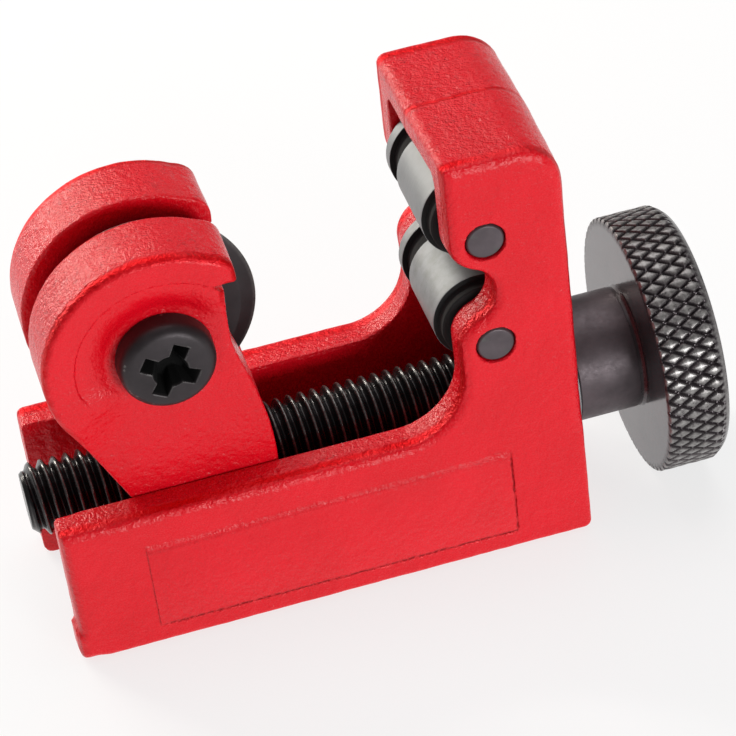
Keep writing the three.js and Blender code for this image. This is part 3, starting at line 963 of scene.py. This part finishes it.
def build_feed_screw():
    """A right-hand M6 thread, plain at the knob, with a chamfered tip and a peened tail."""
    crest, depth = 2.95, 0.58
    start, thread_end, end = screw_low.x, sleeve_low.x - 0.6, screw_high.x
    tip_radius, tip_flat, tip_slope = 2.2, 1.6, 0.9
    shank, tail = crest - 0.05, crest - 0.6
    seat, knob_face = knob_low.x, knob_high.x
    per_pitch, around = 14, 72
    places = np.arange(start, thread_end, thread_pitch / per_pitch)
    turn = np.linspace(0, 2 * math.pi, around, endpoint=False)
    phase = (places[:, None] / thread_pitch - turn[None, :] / (2 * math.pi)) % 1
    height = thread_height(phase)
    radius = crest - depth * (1 - height)
    lead = tip_radius + (places - start)[:, None] * tip_slope
    radius = np.minimum(radius, lead)
    none = np.zeros(around)
    rings = [(start + 0.06, none, none), (start, np.full(around, tip_flat), none)]
    for place, ring, tall in zip(places, radius, height):
        rings.append((place, ring, tall * (ring > crest - depth)))
    plain = [
        (shank, thread_end + 0.1), (shank, seat), (tail, seat + 0.01), (tail, knob_face - 0.8),
        (tail + 0.7, knob_face - 0.1), (tail + 0.55, knob_face + 0.12),
        (tail * 0.75, knob_face + 0.3), (tail * 0.35, end - 0.02), (0, end),
    ]
    points, wear = ring_points(rings + plain_rings(plain, longest=0.8, around=around), turn)
    piece = grid_piece("threaded_screw", points, wear, "wear", power=24)
    return dress(piece, "drive", "feed_screw", oxide_screw)


def grid_piece(name, points, values, attribute_name, power=1):
    """A closed skin over rings of points; the first and last rings close to a point."""
    count, around = points.shape[:2]
    flat = np.vstack([points[0, :1], points[1:-1].reshape(-1, 3), points[-1, :1]])
    weights = np.concatenate([values[0, :1], values[1:-1].ravel(), values[-1, :1]])
    last = len(flat) - 1
    ring = 1 + np.arange((count - 2) * around).reshape(count - 2, around)
    nxt = np.roll(ring, -1, axis=1)
    sides = np.stack([ring[:-1], ring[1:], nxt[1:], nxt[:-1]], axis=2).reshape(-1, 4)
    caps = [[0, a, b] for a, b in zip(ring[0], nxt[0])]
    caps += [[last, b, a] for a, b in zip(ring[-1], nxt[-1])]
    piece = outward(make_piece(name, flat, sides.tolist() + caps, sharp_deg=60))
    set_attribute(piece, attribute_name, weights**power)
    return piece


def knurl_height(around, along):
    """Height of a diamond knurl between 0 in the cuts and 1 on the flats.

    around is counted in diamonds round the knob and along in diamonds along it."""
    flank_share, flat_rise = 0.30, 0.10
    first = np.abs(((around + along) % 1) - 0.5) * 2
    second = np.abs(((around - along) % 1) - 0.5) * 2
    lowest = 1 - np.maximum(first, second)
    flank = np.clip(lowest / flank_share, 0, 1)
    return (1 - flat_rise) * flank + flat_rise * smooth_step(lowest, flank_share, 0.9)


def build_knob():
    """The knob: a boss against the sleeve, two turned faces and a diamond knurl between them."""
    radius = (knob_high.z - knob_low.z) / 2
    bore = 2.4
    boss = (sleeve_high.z - sleeve_low.z) / 2 - 0.03
    boss_length, boss_edge, boss_fillet = 0.45, 0.02, 0.2
    face_in, face_out = knob_low.x + boss_length, knob_high.x
    diamonds, per_diamond_round, per_diamond_along = 57, 12, 22
    depth, knurl_angle = 0.36, math.radians(30)
    diamond_long = 2 * math.pi * radius / diamonds / math.tan(knurl_angle)
    edge, edge_wear, face_edge, rolled = 0.42, 0.6, radius - 1.2, 0.62
    lead_drop, lead_long, roll_drop, roll_long = 0.12, 0.12, 0.22, 0.35
    knurl_start, knurl_end = face_in + 0.06, face_out - edge + 0.001
    knurl_x = np.arange(knurl_start, knurl_end, diamond_long / per_diamond_along)
    segments = diamonds * per_diamond_round
    turn = np.linspace(0, 2 * math.pi, segments, endpoint=False)
    inner = [
        (bore, knob_low.x), (boss - boss_edge, knob_low.x), (boss, knob_low.x + boss_edge),
        (boss, face_in - boss_fillet), (boss + boss_fillet, face_in),
        (face_edge, face_in), (radius - depth - 0.04, face_in),
    ]
    rim_back, roll_rise, roll_back = 0.03, 0.28, 0.3
    outer = [
        (radius - rolled, face_out - rim_back), (face_edge, face_out),
        (bore + 1.4, face_out), (bore + 0.8, face_out - 0.1), (bore, face_out - 0.9),
    ]
    longest = 0.7
    rings = plain_rings(inner, longest, segments)
    for place in knurl_x:
        tall = knurl_height(turn / (2 * math.pi) * diamonds, (place - face_in) / diamond_long)
        cap = radius - lead_drop * (1 - smooth_step(place - knurl_x[0], 0, lead_long))
        cap -= roll_drop * (1 - smooth_step(knurl_x[-1] - place, 0, roll_long))
        rings.append((place, np.minimum(radius - depth * (1 - tall), cap), smooth_step(tall, 0.8, 1.0)))
    for step in (1.0, 0.6, 0.25):
        place = face_out - rim_back - roll_back * step
        rolled_radii = np.full(segments, radius - rolled + roll_rise * step)
        rings.append((place, rolled_radii, np.full(segments, edge_wear)))
    points, wear = ring_points(rings + plain_rings(outer, longest, segments), turn)
    ring = np.arange(wear.size).reshape(wear.shape)
    nxt = np.roll(ring, -1, axis=1)
    below, below_next = np.roll(ring, -1, axis=0), np.roll(nxt, -1, axis=0)
    faces = np.stack([ring, below, below_next, nxt], axis=2).reshape(-1, 4)
    piece = outward(make_piece("knurled_knob", points.reshape(-1, 3), faces.tolist(), sharp_deg=32))
    set_attribute(piece, "wear", wear.ravel())
    reach = np.hypot(points[:, :, 1] - feed_axis.y, points[:, :, 2] - feed_axis.z).ravel()
    set_attribute(piece, "polish", (reach < radius - 0.5) & (reach > boss + 0.1))
    return dress(piece, "drive", "knob_wheel", oxide_knob)


def build_sleeve():
    """The plain sleeve, bevelled at the frame and tight against the knob's boss."""
    radius = (sleeve_high.z - sleeve_low.z) / 2
    bore = 3.0
    bevel, far_bevel = 0.1, 0.02
    start, end = sleeve_low.x, knob_low.x
    profile = [
        (bore, start), (radius - bevel, start), (radius, start + bevel),
        (radius, end - far_bevel), (radius - far_bevel, end), (bore, end),
    ]
    profile = densified(eased(profile, radius=0.03), longest=0.5)
    piece = turned("turned_sleeve", profile, "X", (0, feed_axis.y, feed_axis.z), 128, closed=True)
    return dress(piece, "drive", "knob_sleeve", oxide_sleeve)


def build_washer(place, body):
    """A flat thrust washer with eased edges."""
    low, high = node_box(f"{place}_thrust_washer")
    radius = (high.z - low.z) / 2
    profile = [(screw_bore, low.x), (radius, low.x), (radius, high.x), (screw_bore, high.x)]
    profile = densified(eased(profile + profile[:1], radius=0.12)[1:], longest=0.5)
    piece = turned(f"spring_washer_{place}", profile, "X", (0, feed_axis.y, feed_axis.z), 96, closed=True)
    set_attribute(piece, "recess", np.zeros(len(piece.data.vertices)))
    return dress(piece, body, f"{place}_thrust_washer", washer_steel)


def build_clip():
    """Open clip with a rounded mouth and three inner prongs."""
    low, high = node_box("retaining_clip")
    radius = (high.y - low.y) / 2
    prong_radius, relief, mouth_half, prongs = 2.42, 0.9, 1.9, 3

    def distance(x, y, z):
        up = z - feed_axis.z
        reach = np.hypot(y, up)
        angle = np.arctan2(up, y)
        inner = prong_radius + relief * smooth_step(np.cos(prongs * (angle - math.pi / 2)), -0.2, -0.8)
        ring = meet(reach - radius, inner - reach, 0.15)
        mouth = np.maximum(np.abs(y) - mouth_half, up)
        ring = cut(ring, mouth, 0.2)
        return meet(ring, between(x, low.x, high.x), 0.12)

    points, quads = solid_from_distance(distance, low, high, 0.12)
    piece = make_piece("open_clip", points, quads)
    set_attribute(piece, "recess", np.zeros(len(points)))
    return dress(piece, "drive", "retaining_clip", washer_steel)


build_cast_frame()
build_cast_slide()
for side in roller_axes:
    build_roller(side)
    build_pin(side)
build_wheel()
build_axle_screw()
build_feed_screw()
build_sleeve()
build_knob()
build_washer("inner", "frame")
build_washer("outer", "drive")
build_clip()


# ---- stage, lights and camera ----
def build_floor():
    """A wide pale floor that glows faintly, as seamless paper lit from behind does."""
    half = 3000.0
    darker, paler = colour(0.20, 0.20, 0.20), colour(0.22, 0.22, 0.22)
    points = [(-half, -half, 0), (half, -half, 0), (half, half, 0), (-half, half, 0)]
    floor = make_piece("studio_floor", np.array(points), [[0, 1, 2, 3]])
    material, tree, shader, place = start_material("pale_floor")
    shade = noise(tree, place, size_mm=180.0, detail=2, roughness=0.5)
    matt = {"Base Color": blend_colour(tree, shade, darker, paler), "Roughness": 0.9}
    glow = {"Emission Color": colour(1, 1, 1), "Emission Strength": 0.76}
    connect(tree, shader, {**matt, **glow, "Specular IOR Level": 0.1})
    floor.data.materials.append(material)


def soft_light(name, direction, radiance, size, middle, tint=(1, 1, 1, 1), distance=0.5):
    """A square softbox facing the tool; radiance is relative to a white card's in full light."""
    light = bpy.data.lights.new(name, "AREA")
    light.color = tint[:3]
    light.shape = "SQUARE"
    light.size = size
    light.energy = radiance * math.pi * size**2
    lamp = bpy.data.objects.new(name, light)
    away = Vector(direction).normalized()
    lamp.location = middle + away * distance
    lamp.rotation_euler = away.to_track_quat("Z", "Y").to_euler()
    bpy.context.scene.collection.objects.link(lamp)


def mirrored(view, normal):
    """Where light has to come from to reach the camera off a face with this normal."""
    normal = Vector(normal).normalized()
    return 2 * normal.dot(view) * normal - view


def build_lights(middle):
    """A narrow warm strip that the rounded rims mirror, a soft card above and one low in front."""
    world = bpy.data.worlds.new("studio")
    world.use_nodes = True
    background = world.node_tree.nodes["Background"]
    connect(world.node_tree, background, {"Color": colour(1, 1, 1), "Strength": 0.22})
    bpy.context.scene.world = world
    view = (bpy.context.scene.camera.location - middle).normalized()
    warm = colour(1.0, 0.95, 0.86)
    first_lean, last_lean, lean_step = 44, 74, 5
    for lean_deg in range(first_lean, last_lean + 1, lean_step):
        lean = math.radians(lean_deg)
        rim_normal = (-math.cos(lean), 0, math.sin(lean))
        name = f"rim_strip_{lean_deg}"
        soft_light(name, mirrored(view, rim_normal), radiance=46.0, size=0.045, middle=middle, tint=warm)
    soft_light("overhead", (0.08, 0.30, 0.95), radiance=2.15, size=0.46, middle=middle)
    soft_light("front_low", (0.34, -0.93, 0.12), radiance=16.5, size=0.16, middle=middle)


def build_camera():
    """The photograph's angle: in front, a little from the left, well above, tilted anticlockwise."""
    azimuth_deg, elevation_deg, roll_deg = 10.83, 37.98, 7.79
    target_from_end, target_below_wheel, distance_mm = 14.97, 10.57, 249.2
    azimuth, elevation, roll = (math.radians(a) for a in (azimuth_deg, elevation_deg, roll_deg))
    target = Vector((frame_high.x - target_from_end, 0, contact_height - target_below_wheel)) * MM
    distance = distance_mm * MM
    level = math.cos(elevation)
    back = Vector((-math.sin(azimuth) * level, -math.cos(azimuth) * level, math.sin(elevation)))
    right = Vector((math.cos(azimuth), -math.sin(azimuth), 0))
    up = back.cross(right)
    side = right * math.cos(roll) - up * math.sin(roll)
    top = right * math.sin(roll) + up * math.cos(roll)
    camera = bpy.data.cameras.new("photo_view")
    camera.lens = 156.2
    camera.sensor_width = 36.0
    camera.clip_start = 0.01
    camera.clip_end = 50
    eye = bpy.data.objects.new("photo_view", camera)
    turn = Matrix((side, top, back)).transposed()
    eye.matrix_world = Matrix.Translation(target + back * distance) @ turn.to_4x4()
    bpy.context.scene.collection.objects.link(eye)
    bpy.context.scene.camera = eye
    return target


build_floor()
build_lights(build_camera())
bpy.context.scene.view_settings.view_transform = "Standard"
